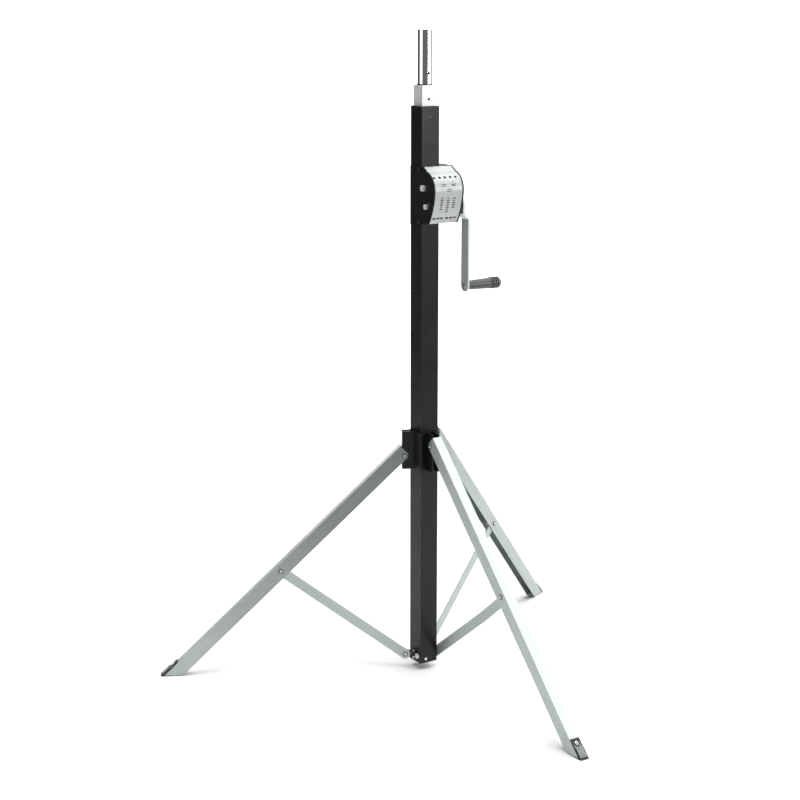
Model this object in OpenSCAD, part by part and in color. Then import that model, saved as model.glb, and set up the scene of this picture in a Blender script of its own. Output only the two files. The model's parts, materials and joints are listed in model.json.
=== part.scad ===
// Crank lighting stand: a telescopic square mast on a folding tripod, raised by a hand winch.
// Millimetres. Z is up and is the axis of the outer mast. The origin lies on the floor.
// The winch and the front leg face -Y and the crank is on the +X side.

/* [Mast] */
// Width of the square outer mast
mast_w = 50; // [49:0.5:51]
// Wall of the outer mast
mast_wall = 2; // [1.5:0.1:2]
// Height of the lower end of the mast above the floor
mast_bottom = 18; // [16:1:20]
// Height of the top rim of the outer mast
mast_top = 1444; // [1440:1:1450]
// Width of the square inner mast
inner_w = 38; // [37:0.5:38]
// Wall of the inner mast
inner_wall = 2; // [1.5:0.1:2.5]
// Height of the top of the inner mast when it is down
inner_top = 1491; // [1485:1:1500]

/* [Spigot] */
// Outer diameter of the spigot tube
spigot_d = 35; // [34:0.5:35]
// Height of the top of the spigot when the mast is down
spigot_top = 1625; // [1600:1:1640]
// Diameter of the cross hole for a safety pin
spigot_hole_d = 8; // [6:0.5:10]
// Height of that cross hole
spigot_hole_z = 1522; // [1520:1:1530]

/* [Winch] */
// Inside width between the two side plates
winch_w = 80; // [80:0.5:82]
// Thickness of the side plates
plate_t = 3; // [2:0.5:3]
// Height of the drum axle
drum_z = 1249; // [1247:1:1250]
// Teeth on the drum gear
gear_teeth = 34; // [34:1:34]
// Teeth on the crank pinion
pinion_teeth = 11; // [11:1:11]
// Gear module
gear_m = 2; // [2:0.5:2]
// Diameter of the lifting cable
cable_d = 3; // [2.5:0.1:3]

/* [Crank] */
// Radius from the crank shaft to the grip
crank_r = 206; // [180:1:215]
// Width of the crank arm
crank_w = 30; // [26:1:32]
// Thickness of the crank arm
crank_t = 5; // [4:0.5:6]
// Length of the grip
grip_len = 100; // [90:1:110]
// Largest diameter of the grip
grip_d = 29; // [26:0.5:32]

/* [Tripod] */
// Angle of each rear leg from the X axis
rear_azimuth = 26.8; // [26:0.1:28]
// Radius from the mast axis to the toe of a leg
foot_r = 672; // [665:1:680]
// Width of a leg channel
leg_w = 25; // [25:0.5:26]
// Depth of a leg channel
leg_depth = 34; // [34:0.5:35]
// Wall of a leg channel
leg_wall = 2; // [1.5:0.1:2]
// Height of the hub's lower edge when the legs are spread
hub_bottom = 536; // [535:1:540]
// Height of the hub
hub_h = 98; // [96:1:100]
// How far the hub rises along the mast when the legs fold
hub_travel = 298; // [296:0.5:299]
// Width of a brace bar
brace_w = 25; // [22:0.5:25]
// Thickness of a brace bar
brace_t = 3; // [2.5:0.1:3]

/* [Hidden] */

black = [0.10, 0.11, 0.11];
dark = [0.22, 0.23, 0.23];
silver = [0.80, 0.82, 0.82];
bright = [0.90, 0.90, 0.88];
zinc = [0.62, 0.68, 0.66];
pale_zinc = [0.70, 0.77, 0.74];
rubber = [0.08, 0.08, 0.08];
steel = [0.55, 0.56, 0.56];

$fn = 64;
gap = 0.3;            // clear space between parts that move past each other
fit = 0.05;           // radial clearance of a running fit

// Mast
mast_in = mast_w / 2 - mast_wall;
rim_t = 2;
tube_top = mast_top - rim_t;
inner_y = 2.5;                        // the inner mast sits towards the rear
inner_front = inner_y - inner_w / 2;
inner_rear = inner_y + inner_w / 2;
inner_bottom = 44;
cable_r = cable_d / 2;
run_y = (inner_front - mast_in) / 2;  // middle of the front gap between the two masts

// Winch: points in the winch are [y, z]
left_x = -mast_w / 2 - plate_t;
right_x = left_x + plate_t + winch_w;
wrap_r = 18.05;
drum_core_r = wrap_r - cable_r - 0.35;
drum_flange_r = 20.3;
drum_y = run_y - wrap_r;
axle_r = 6;
shaft_gap = gear_m * (gear_teeth + pinion_teeth) / 2;
shaft_y = drum_y - 24.7;
shaft_z = drum_z - sqrt(pow(shaft_gap, 2) - pow(drum_y - shaft_y, 2));
winch_low = 1157;
winch_high = 1299;
winch_back = 22.5;
nose_c = [-40, 1245];
nose_r = 44;
nose_a0 = 105;
nose_a1 = 185;
chin_r = 175;
chin_a1 = 212;
chin_c = nose_c + (chin_r - nose_r) * [-cos(nose_a1), -sin(nose_a1)];
brow_y = -34;
cover_t = 1.5;
plate_lip = 1.5;
tie_yz = [-49, 1178];
guard_yz = [-50, 1205];
rod_r = 4;
gear_x = 30;
gear_w = 8;
ratchet_x = 43.2;
ratchet_w = 4.6;
ratchet_r = 14.5;
ratchet_teeth = 12;
sheave_z = 1418;
sheave_groove_r = 9.05;
sheave_r = 11;
sheave_w = 4.6;
run_x = sheave_groove_r;

// Crank
arm_in_x = right_x + plate_t + 4;
arm_out_x = arm_in_x + 15;
grip_z = shaft_z - crank_r;
grip_x = arm_out_x + crank_t + 2;
grip_bore_end = grip_x + grip_len - 12;
spindle_r = 4;

// Tripod: a leg is [azimuth, pivot radius, pivot height, toe radius, brace pivot height,
//   brace side offset at the leg and at the mast, bolt head side, brace bolt along the leg]
AZ = 0;
PR = 1;
PZ = 2;
FR = 3;
QZ = 4;
T_LEG = 5;
T_MAST = 6;
HEAD = 7;
BS = 8;
brace_in_t = -8;
brace_out_t = leg_w / 2 + gap + brace_t / 2;
brace_mast_t = mast_w / 2 + 0.8 + brace_t / 2;
left = [180 - rear_azimuth, 50, 570, foot_r, 37, -brace_in_t, -brace_in_t, 1, 434];
right = [rear_azimuth, 50, 602, foot_r, 76, brace_in_t, brace_in_t, -1, 440];
front = [-90, 48, 602, foot_r, 37, brace_out_t, brace_mast_t, -1, 434];
bolt_r = 4;
leg_up = 26;                          // from the pivot to the closed face of the channel
leg_down = leg_depth - leg_up;
leg_end = 10;                         // channel beyond the pivot
brace_up = 9;                         // brace bolt above the pivot line
sole_t = 2;
sole_len = 20;
pad_len = 50;
pad_t = 2.8;
boss_t = 3;
boss_len = 26;
foot_screw_s = 38;
hub_half = 29.5;
hub_bore = mast_w / 2 + 0.5;
ear_t = 4;
ear_out = 6;
ear_side = leg_w / 2 - leg_wall - gap - ear_t;

function leg_span(g) = sqrt(pow(g[PZ], 2) + pow(g[FR] - g[PR], 2));
function leg_angle(g) = atan2(g[PZ], g[FR] - g[PR]) + asin(leg_up / leg_span(g));
function toe_s(g) = sqrt(pow(leg_span(g), 2) - pow(leg_up, 2));
// Brace bolt on the leg, as [radius, height], with the legs spread and folded
function bolt_rest(g) = [
    g[PR] + g[BS] * cos(leg_angle(g)) + brace_up * sin(leg_angle(g)),
    g[PZ] - g[BS] * sin(leg_angle(g)) + brace_up * cos(leg_angle(g))
];
function bolt_fold(g) = [g[PR] + brace_up, g[PZ] + hub_travel - g[BS]];
// The brace pivot on the mast lies where the brace has one length in both positions
function pivot_r(g) = let (a = bolt_rest(g), b = bolt_fold(g))
    (a[0] * a[0] - b[0] * b[0] + pow(a[1] - g[QZ], 2) - pow(b[1] - g[QZ], 2)) / (2 * (a[0] - b[0]));
function brace_len(g) = norm(bolt_rest(g) - [pivot_r(g), g[QZ]]);
function brace_angle(g) = atan2(bolt_rest(g)[1] - g[QZ], bolt_rest(g)[0] - pivot_r(g));

function arc(c, r, a0, a1, n) =
    [for (i = [0:n]) c + r * [cos(a0 + (a1 - a0) * i / n), sin(a0 + (a1 - a0) * i / n)]];
// Front outline of the winch, offset outwards
function winch_front(o) = concat(
    [[brow_y, winch_high + o]],
    arc(nose_c, nose_r + o, nose_a0, nose_a1, 20),
    arc(chin_c, chin_r + o, nose_a1 + 2, chin_a1, 8)
);

// Involute gear outline with stub teeth and backlash
pressure = 25;
addendum = 0.8;
dedendum = 1.15;
backlash = 0.5;
function inv_deg(a) = tan(a) * 180 / PI - a;
function flank(n, r) = let (rb = n * gear_m / 2 * cos(pressure), rr = max(r, rb))
    inv_deg(acos(rb / rr)) - inv_deg(pressure);
function half_tooth(n, r) = 90 / n - backlash / (n * gear_m) * 90 / PI - flank(n, r);
function gear_points(n, turn) = let (
    rp = n * gear_m / 2,
    ro = rp + addendum * gear_m,
    ri = rp - dedendum * gear_m,
    rs = [ri, (ri + rp) / 2, rp, (rp + ro) / 2, ro]
) [for (k = [0:n - 1], side = [-1, 1], j = [0:4]) let (
    r = rs[side < 0 ? j : 4 - j],
    a = turn + 360 * k / n + side * half_tooth(n, r)
) [r * cos(a), r * sin(a)]];

module yz(x0, t) {
    translate([x0, 0, 0]) rotate([90, 0, 90]) linear_extrude(t) children();
}
module rod_x(x0, x1, r, y, z, sides = 64) {
    translate([x0, y, z]) rotate([0, 90, 0]) cylinder(h = x1 - x0, r = r, $fn = sides);
}
module rod_y(y0, y1, r, x, z, sides = 64) {
    translate([x, min(y0, y1), z]) rotate([-90, 0, 0]) cylinder(h = abs(y1 - y0), r = r, $fn = sides);
}
module box(x0, x1, y0, y1, z0, z1) {
    translate([x0, y0, z0]) cube([x1 - x0, y1 - y0, z1 - z0]);
}
module square_tube(w, wall, z0, z1, y = 0) {
    difference() {
        box(-w / 2, w / 2, y - w / 2, y + w / 2, z0, z1);
        box(-w / 2 + wall, w / 2 - wall, y - w / 2 + wall, y + w / 2 - wall, z0 - 1, z1 + 1);
    }
}

// Screws that hold the winch: [y, z] on the left plate and on the brackets
left_screws = [[-18, 1290], [14, 1290], [-18, 1166], [14, 1166]];
bracket_y = 2;
bracket_zs = [1280, 1176];
screw_r = 2.5;
screw_end = mast_in;
screw_head_r = 4.5;
screw_head_t = 2.4;

// Base of the mast
base_hole_x = 14.7;
base_hole_z = 26;
base_hole_r = 2.2;
base_screw_x = -8.9;
base_screw_z = 28.5;
cross_y = -pivot_r(front);
cross_z = front[QZ];
stop_z = hub_bottom - gap - 5;

module outer_mast_tube() {
    color(black) difference() {
        square_tube(mast_w, mast_wall, mast_bottom, tube_top);
        box(-19.5, 19.5, -mast_w / 2 - 1, -mast_in + 1, drum_z - 17, drum_z + 17);
        rod_y(-mast_w / 2 - 1, -mast_in + 1, 3, 0, sheave_z);
        rod_y(-mast_w, mast_w, base_hole_r, base_hole_x, base_hole_z);
        rod_y(-mast_w, 0, 2, base_screw_x, base_screw_z);
        rod_x(-mast_w, mast_w, bolt_r, cross_y, cross_z);
        rod_y(0, mast_w, screw_r, 0, stop_z);
        for (p = left_screws) rod_x(-mast_w, 0, screw_r, p[0], p[1]);
        for (z = bracket_zs) rod_x(0, mast_w, screw_r, bracket_y, z);
    }
}

module top_guide_bush() {
    slide = 0.3;
    half = inner_w / 2 + slide;
    skirt = 11;
    color(dark) difference() {
        union() {
            box(-mast_w / 2, mast_w / 2, -mast_w / 2, mast_w / 2, tube_top, mast_top);
            box(-mast_in, mast_in, -mast_in, mast_in, tube_top - skirt, tube_top);
        }
        box(-half, half, inner_front - slide, inner_rear + slide, tube_top - skirt - 1, mast_top + 1);
    }
}

module sheave_pin() {
    color(black) rod_y(-mast_w / 2, inner_front - 0.5, 3, 0, sheave_z);
}

module bottom_buffer() {
    half = mast_in - 0.1;
    color(dark) difference() {
        box(-half, half, -half, half, mast_bottom + 2, inner_bottom);
        rod_y(-mast_w, mast_w, base_hole_r, base_hole_x, base_hole_z);
        rod_y(-mast_w, -mast_in + 10, 2, base_screw_x, base_screw_z);
        rod_x(-mast_w, mast_w, bolt_r, cross_y, cross_z);
    }
}

module base_screw() {
    color(steel) union() {
        rod_y(-mast_w / 2 - 1.6, -mast_w / 2, 3.6, base_screw_x, base_screw_z);
        rod_y(-mast_w / 2, -mast_in + 10, 2, base_screw_x, base_screw_z);
    }
}

module winch_plate(x0) {
    difference() {
        yz(x0, plate_t) polygon(concat(
            [[winch_back, winch_low - plate_lip], [winch_back, winch_high + plate_lip]],
            winch_front(plate_lip)
        ));
        rod_x(x0 - 1, x0 + plate_t + 1, axle_r, drum_y, drum_z);
        rod_x(x0 - 1, x0 + plate_t + 1, axle_r + fit, shaft_y, shaft_z);
        rod_x(x0 - 1, x0 + plate_t + 1, rod_r, tie_yz[0], tie_yz[1]);
    }
}
module winch_left_plate() {
    color(black) difference() {
        winch_plate(left_x);
        rod_x(left_x - 1, 0, rod_r, guard_yz[0], guard_yz[1]);
        for (p = left_screws) rod_x(left_x - 1, 0, screw_r, p[0], p[1]);
    }
}
module winch_right_plate() {
    color(black) difference() {
        winch_plate(right_x);
        for (z = bracket_zs) rod_x(right_x - 1, right_x + 10, screw_r, bracket_y, z);
    }
}

cover_hole_a = 135;
cover_hole_r = 3.6;
cover_hole_pitch = 15.4;
module winch_cover() {
    inner = winch_front(-cover_t);
    mid_x = (left_x + plate_t + right_x) / 2 - 4;
    color(silver) difference() {
        yz(left_x + plate_t, winch_w) polygon(concat(
            [[-mast_w / 2 - 1, winch_high]],
            winch_front(0),
            [for (i = [len(inner) - 1:-1:0]) inner[i]],
            [[-mast_w / 2 - 1, winch_high - cover_t]]
        ));
        for (i = [-2:2])
            translate([mid_x + i * cover_hole_pitch, nose_c[0], nose_c[1]])
                rotate([cover_hole_a - 90, 0, 0])
                    translate([0, 0, nose_r - 5]) cylinder(h = 10, r = cover_hole_r);
    }
}

module winch_bracket(z_web, z_leg0, z_leg1, z_screw) {
    x0 = mast_w / 2;
    color(dark) difference() {
        union() {
            box(x0, right_x, bracket_y - 16, bracket_y + 16, z_web, z_web + plate_t);
            box(x0, x0 + plate_t, bracket_y - 16, bracket_y + 16, z_leg0, z_leg1);
            box(right_x - plate_t, right_x, bracket_y - 16, bracket_y + 16, z_leg0, z_leg1);
        }
        rod_x(x0 - 1, right_x + 1, screw_r, bracket_y, z_screw);
    }
}
module winch_brackets() {
    winch_bracket(winch_high - plate_t, winch_high - 28, winch_high - 2, bracket_zs[0]);
    winch_bracket(winch_low, winch_low + 2, winch_low + 28, bracket_zs[1]);
}

module winch_screws() {
    color(black) {
        for (p = left_screws) {
            rod_x(left_x - screw_head_t, left_x, screw_head_r, p[0], p[1]);
            rod_x(left_x, -screw_end, screw_r, p[0], p[1]);
        }
        for (z = bracket_zs) {
            rod_x(screw_end, mast_w / 2 + plate_t, screw_r, bracket_y, z);
            rod_x(mast_w / 2 + plate_t, mast_w / 2 + plate_t + screw_head_t, screw_head_r, bracket_y, z);
            rod_x(right_x - plate_t - 4, right_x + plate_t, screw_r, bracket_y, z);
            rod_x(right_x + plate_t, right_x + plate_t + screw_head_t, screw_head_r, bracket_y, z);
        }
    }
}

module winch_tie_rod() {
    color(dark) union() {
        rod_x(left_x - 1.5, left_x, 5, tie_yz[0], tie_yz[1]);
        rod_x(left_x, right_x + plate_t, rod_r, tie_yz[0], tie_yz[1]);
        rod_x(right_x + plate_t, right_x + plate_t + 1.5, 5, tie_yz[0], tie_yz[1]);
    }
}

module guard_bolt() {
    end_x = 24;
    color(silver) union() {
        rod_x(left_x - 5, left_x, 6.5, guard_yz[0], guard_yz[1]);
        rod_x(left_x, end_x, rod_r, guard_yz[0], guard_yz[1]);
        rod_x(end_x - 5, end_x - 1, 6.5, guard_yz[0], guard_yz[1], 6);
    }
}

module drum_guard() {
    r0 = 23.2;
    r1 = 24.7;
    c = [drum_y, drum_z];
    color(steel) difference() {
        union() {
            yz(-15, 30) polygon(concat(arc(c, r1, 150, 262, 24), arc(c, r0, 262, 150, 24)));
            yz(-6, 12) polygon([
                c + r0 * [cos(240), sin(240)], c + r0 * [cos(256), sin(256)],
                guard_yz + [6, 3], guard_yz + [-6, 3]
            ]);
            rod_x(-6, 6, 7, guard_yz[0], guard_yz[1]);
        }
        rod_x(-7, 7, rod_r, guard_yz[0], guard_yz[1]);
    }
}

module drum_axle() {
    color(silver) union() {
        rod_x(left_x - 6, left_x, 7.5, drum_y, drum_z);
        rod_x(left_x, right_x + plate_t, axle_r, drum_y, drum_z);
        rod_x(right_x + plate_t, right_x + plate_t + 3.5, 7.5, drum_y, drum_z);
    }
}

module ratchet_wheel() {
    root = 11.5;
    color(steel) difference() {
        translate([0, shaft_y, shaft_z]) yz(ratchet_x, ratchet_w) polygon([
            for (k = [0:ratchet_teeth - 1], j = [0, 1])
                (j == 0 ? root : ratchet_r) * [cos(k * 30 + 4), sin(k * 30 + 4)]
        ]);
        rod_x(ratchet_x - 1, ratchet_x + ratchet_w + 1, axle_r + fit, shaft_y, shaft_z);
    }
}

// Cable: two and a half turns on the drum, up the front gap and over the top sheave
wraps = 2.5;
wrap_pitch = 3.3;
wrap_steps = 60;
cable_sides = 8;
module cable_wraps() {
    pts = [for (i = [0:wrap_steps], j = [0:cable_sides - 1]) let (
        a = -360 * wraps * (1 - i / wrap_steps),
        x = run_x - wrap_pitch * wraps * (1 - i / wrap_steps),
        b = 360 * j / cable_sides,
        r = wrap_r + cable_r * cos(b)
    ) [x + cable_r * sin(b), drum_y + r * cos(a), drum_z + r * sin(a)]];
    n = cable_sides;
    sides = [for (i = [0:wrap_steps - 1], j = [0:n - 1])
        [i * n + j, i * n + (j + 1) % n, (i + 1) * n + (j + 1) % n, (i + 1) * n + j]];
    ends = [[for (j = [n - 1:-1:0]) j], [for (j = [0:n - 1]) wrap_steps * n + j]];
    polyhedron(points = pts, faces = concat(sides, ends), convexity = 6);
}
module lift_cable() {
    color(steel) union() {
        cable_wraps();
        translate([run_x, run_y, drum_z - 0.2]) cylinder(h = sheave_z - drum_z + 0.2, r = cable_r);
        translate([0, run_y, sheave_z]) rotate([90, 0, 0])
            rotate_extrude(angle = 180) translate([sheave_groove_r, 0]) circle(r = cable_r, $fn = 24);
    }
}
anchor_low = 50;
module lift_cable_drop() {
    color(steel) translate([-run_x, run_y, anchor_low - 4])
        cylinder(h = sheave_z - anchor_low + 4, r = cable_r);
}

module hub_stop_screw() {
    color(black) union() {
        rod_y(mast_in, mast_w / 2, screw_r, 0, stop_z);
        rod_y(mast_w / 2, mast_w / 2 + 4, 5, 0, stop_z);
    }
}

module inner_mast_tube() {
    color(bright) difference() {
        square_tube(inner_w, inner_wall, inner_bottom, inner_top, inner_y);
        rod_y(inner_front - 1, inner_front + inner_wall + 1, 4, 0, 1460);
    }
}

guide_low = 46;
guide_high = 58;
anchor_x0 = -run_x - 4;
anchor_x1 = -run_x + 4;
module lower_guide() {
    half = mast_in - 0.3;
    color(dark) difference() {
        box(-half, half, -half, half, guide_low, guide_high);
        box(-inner_w / 2, inner_w / 2, inner_front, inner_rear, guide_low - 1, guide_high + 1);
        box(anchor_x0, anchor_x1, -mast_w, inner_front + 1, guide_low - 1, guide_high + 1);
    }
}

module cable_anchor() {
    front_y = run_y - 2.6;
    color(steel) difference() {
        box(anchor_x0, anchor_x1, front_y, inner_front, anchor_low, anchor_low + 8);
        translate([-run_x, run_y, 0]) cylinder(h = 100, r = cable_r + 0.08);
    }
}
module cable_ferrule() {
    color(steel) difference() {
        translate([-run_x, run_y, guide_low]) cylinder(h = anchor_low - guide_low, r = 2.4);
        translate([-run_x, run_y, 0]) cylinder(h = 100, r = cable_r + 0.08);
    }
}

plug_flange = 2.5;
plug_low = 1450;
plug_screw_r = 3;
module spigot_plug() {
    half = inner_w / 2 - inner_wall;
    boss_r = spigot_d / 2 - 2.5;
    color(silver) difference() {
        union() {
            box(-half, half, inner_y - half, inner_y + half, plug_low, inner_top);
            box(-inner_w / 2, inner_w / 2, inner_front, inner_rear, inner_top, inner_top + plug_flange);
            translate([0, inner_y, inner_top]) cylinder(h = 22, r = boss_r);
        }
        rod_y(inner_y - half - 1, inner_y, plug_screw_r, 0, 1460);
    }
}
module spigot_tube() {
    base = inner_top + plug_flange;
    color(silver) difference() {
        translate([0, inner_y, base]) cylinder(h = spigot_top - base, r = spigot_d / 2);
        translate([0, inner_y, base - 1]) cylinder(h = spigot_top, r = spigot_d / 2 - 2.5);
        rod_y(-50, 50, spigot_hole_d / 2, 0, spigot_hole_z);
    }
}
module plug_screw() {
    color(steel) rod_y(inner_front + inner_wall + 0.6, inner_y, plug_screw_r, 0, 1460);
}

module cable_drum() {
    color(steel) difference() {
        union() {
            rod_x(left_x + plate_t + gap, right_x - gap, 9, drum_y, drum_z);
            rod_x(18, gear_x + gear_w, 10, drum_y, drum_z);
            rod_x(-16, 16, drum_core_r, drum_y, drum_z);
            rod_x(-18, -16, drum_flange_r, drum_y, drum_z);
            rod_x(16, 18, drum_flange_r, drum_y, drum_z);
        }
        rod_x(left_x, right_x + 9, axle_r + fit, drum_y, drum_z);
    }
}
mesh_a = atan2(shaft_z - drum_z, shaft_y - drum_y);
module drum_gear() {
    color(steel) difference() {
        translate([0, drum_y, drum_z]) yz(gear_x, gear_w)
            polygon(gear_points(gear_teeth, mesh_a));
        rod_x(gear_x - 1, gear_x + gear_w + 1, 10, drum_y, drum_z);
    }
}
module crank_pinion() {
    color(steel) difference() {
        translate([0, shaft_y, shaft_z]) yz(gear_x - 1, gear_w + 2)
            polygon(gear_points(pinion_teeth, mesh_a + 180 + 180 / pinion_teeth));
        rod_x(gear_x - 2, gear_x + gear_w + 2, axle_r, shaft_y, shaft_z);
    }
}

nut_t = 7;
module crank_shaft() {
    color(silver) rod_x(left_x - 1, arm_in_x + crank_t + nut_t + 1.5, axle_r, shaft_y, shaft_z);
}
module brake_discs() {
    r = 13;
    color(dark) for (x = [ratchet_x - 2.2, ratchet_x + ratchet_w + 0.2]) difference() {
        rod_x(x, x + 2, r, shaft_y, shaft_z);
        rod_x(x - 1, x + 3, axle_r, shaft_y, shaft_z);
    }
}
joggle_high = shaft_z - 27;
joggle_low = joggle_high - 15;
module crank_arm() {
    half = crank_w / 2;
    color(zinc) difference() {
        union() {
            rod_x(arm_in_x, arm_in_x + crank_t, half, shaft_y, shaft_z);
            box(arm_in_x, arm_in_x + crank_t, shaft_y - half, shaft_y + half, joggle_high, shaft_z);
            translate([0, shaft_y + half, 0]) rotate([90, 0, 0]) linear_extrude(crank_w) polygon([
                [arm_in_x, joggle_high], [arm_in_x + crank_t, joggle_high],
                [arm_out_x + crank_t, joggle_low], [arm_out_x, joggle_low]
            ]);
            box(arm_out_x, arm_out_x + crank_t, shaft_y - half, shaft_y + half, grip_z, joggle_low);
            rod_x(arm_out_x, arm_out_x + crank_t, half, shaft_y, grip_z);
        }
        rod_x(arm_in_x - 1, arm_in_x + crank_t + 1, axle_r, shaft_y, shaft_z);
        rod_x(arm_out_x - 1, arm_out_x + crank_t + 1, spindle_r, shaft_y, grip_z);
    }
}
module crank_nut() {
    color(silver) difference() {
        union() {
            rod_x(arm_in_x + crank_t, arm_in_x + crank_t + 1.5, 11, shaft_y, shaft_z);
            rod_x(arm_in_x + crank_t + 1.5, arm_in_x + crank_t + nut_t, 10.5, shaft_y, shaft_z, 6);
        }
        rod_x(arm_in_x, arm_in_x + 20, axle_r, shaft_y, shaft_z);
    }
}
module grip_spindle() {
    color(silver) union() {
        rod_x(arm_out_x - 3.5, arm_out_x, 6.5, shaft_y, grip_z);
        rod_x(arm_out_x, grip_bore_end - 1, spindle_r, shaft_y, grip_z);
        rod_x(arm_out_x + crank_t, grip_x - gap, 8, shaft_y, grip_z);
    }
}
module crank_grip() {
    neck_r = 11;
    end_r = grip_d / 2;
    ring_from = grip_len - 32;
    ring_pitch = 5.5;
    groove = 1.8;
    color(dark) difference() {
        translate([grip_x, shaft_y, grip_z]) rotate([90, 0, 90]) rotate_extrude() polygon(concat(
            [[0, 0], [neck_r - 1.5, 0], [neck_r, 1.5], [neck_r + 1, 20], [end_r - 1, ring_from - 2]],
            [for (k = [0:3], p = [[0, 0], [-groove, 1], [-groove, 3], [0, 4]])
                [end_r + p[0], ring_from + k * ring_pitch + p[1]]],
            [for (i = [0:8]) [end_r * cos(i * 11.25), grip_len - 9 + 9 * sin(i * 11.25)]]
        ));
        rod_x(grip_x - 1, grip_bore_end, spindle_r + fit, shaft_y, grip_z);
    }
}

module pawl() {
    tip = [shaft_y, shaft_z] + (ratchet_r - 1.6) * [cos(-37), sin(-37)];
    color(steel) difference() {
        union() {
            rod_x(ratchet_x + 0.3, ratchet_x + ratchet_w - 0.3, 7.5, tie_yz[0], tie_yz[1]);
            yz(ratchet_x + 0.3, ratchet_w - 0.6) polygon([
                tie_yz + [-5.5, 4], tip + [0.6, -1.4], tip + [1.4, 0.6], tie_yz + [6.5, 3]
            ]);
        }
        rod_x(ratchet_x - 1, ratchet_x + ratchet_w + 1, rod_r + fit, tie_yz[0], tie_yz[1]);
    }
}

module top_sheave() {
    color(dark) translate([0, run_y, sheave_z]) rotate([90, 0, 0]) rotate_extrude() difference() {
        translate([3 + fit, -sheave_w / 2]) square([sheave_r - 3 - fit, sheave_w]);
        translate([sheave_groove_r, 0]) circle(r = cable_r + 0.2);
        translate([sheave_groove_r, -cable_r - 0.2]) square([5, cable_d + 0.4]);
    }
}

module at_leg(g) {
    rotate([0, 0, g[AZ]]) children();
}
module in_leg(g) {
    at_leg(g) translate([g[PR], 0, g[PZ]]) rotate([0, leg_angle(g), 0]) children();
}
// A side view outline, made solid between two sideways offsets
module side(t0, t1) {
    translate([0, max(t0, t1), 0]) rotate([90, 0, 0]) linear_extrude(abs(t1 - t0)) children();
}

module leg_hub() {
    color(black) difference() {
        union() {
            translate([0, 0, hub_bottom]) linear_extrude(hub_h) offset(4) square(2 * hub_half - 8, center = true);
            for (g = [left, right, front], s = [-1, 1]) at_leg(g)
                side(s * ear_side, s * (ear_side + ear_t))
                    translate([20, hub_bottom]) square([g[PR] + ear_out - 20, hub_h]);
        }
        box(-hub_bore, hub_bore, -hub_bore, hub_bore, hub_bottom - 1, hub_bottom + hub_h + 1);
        for (g = [left, right, front]) at_leg(g) rod_y(-20, 20, bolt_r + fit, g[PR], g[PZ]);
    }
}

module leg(g) {
    far = toe_s(g) + 40;
    color(zinc) difference() {
        in_leg(g) difference() {
            side(-leg_w / 2, leg_w / 2) union() {
                translate([-leg_end, leg_end - leg_down]) square([far, leg_up - leg_end + leg_down]);
                translate([0, -leg_down]) square([far - leg_end, leg_depth]);
                translate([0, leg_end - leg_down]) circle(r = leg_end);
            }
            side(-leg_w / 2 + leg_wall, leg_w / 2 - leg_wall)
                translate([-2 * leg_end, -leg_depth]) square([far + 50, leg_depth + leg_up - leg_wall]);
            rod_y(-20, 20, bolt_r, 0, 0);
            rod_y(-20, 20, bolt_r, g[BS], brace_up);
            translate([toe_s(g) - foot_screw_s, 0, 0]) cylinder(h = 50, r = screw_r);
        }
        at_leg(g) box(0, 900, -50, 50, -200, sole_t);
    }
}

module foot_pad(g) {
    tip = toe_s(g);
    color(rubber) difference() {
        union() {
            in_leg(g) side(-leg_w / 2, leg_w / 2)
                translate([tip - pad_len, leg_up]) square([pad_len + 20, pad_t]);
            in_leg(g) side(-leg_w / 2 + 1, leg_w / 2 - 1)
                translate([tip - boss_len, leg_up]) square([boss_len + 20, pad_t + boss_t]);
            at_leg(g) box(g[FR] - sole_len, g[FR] + 1, -leg_w / 2 + 0.5, leg_w / 2 - 0.5, 0, sole_t);
        }
        at_leg(g) box(0, 900, -50, 50, -200, 0);
        in_leg(g) translate([tip - foot_screw_s, 0, leg_up - 1]) cylinder(h = 50, r = screw_r);
        in_leg(g) translate([tip - foot_screw_s, 0, leg_up + pad_t - 1]) cylinder(h = 50, r = 7);
    }
}
module foot_screw(g) {
    color(silver) in_leg(g) translate([toe_s(g) - foot_screw_s, 0, 0]) union() {
        translate([0, 0, leg_up - leg_wall - 4]) cylinder(h = 4, r = 4.6, $fn = 6);
        translate([0, 0, leg_up - leg_wall]) cylinder(h = leg_wall + pad_t - 1, r = screw_r);
        translate([0, 0, leg_up + pad_t - 1]) cylinder(h = 2.6, r = 5);
    }
}

// A bolt across the leg, with its head on one side and its nut on the other
module cross_bolt(t_head, t_nut) {
    s = t_nut > t_head ? 1 : -1;
    head = 3.5;
    nut = 5.5;
    rod_y(t_head, t_nut, bolt_r, 0, 0);
    rod_y(t_head, t_head - s * head, 6.5, 0, 0);
    rod_y(t_nut, t_nut + s * nut, 7.2, 0, 0, 6);
}
module leg_bolts(g) {
    half = leg_w / 2;
    outside = g[T_LEG] > half;
    far = outside ? g[T_LEG] + brace_t / 2 + gap : half;
    s = sign(g[T_LEG]);
    color(silver) in_leg(g) {
        cross_bolt(g[HEAD] * half, -g[HEAD] * half);
        translate([g[BS], 0, brace_up]) union() {
            cross_bolt(g[HEAD] * half, -g[HEAD] * far);
            if (!outside) rod_y(g[T_LEG] - s * (brace_t / 2 + gap), -s * (half - leg_wall), 6.5, 0, 0);
        }
    }
}

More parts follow.
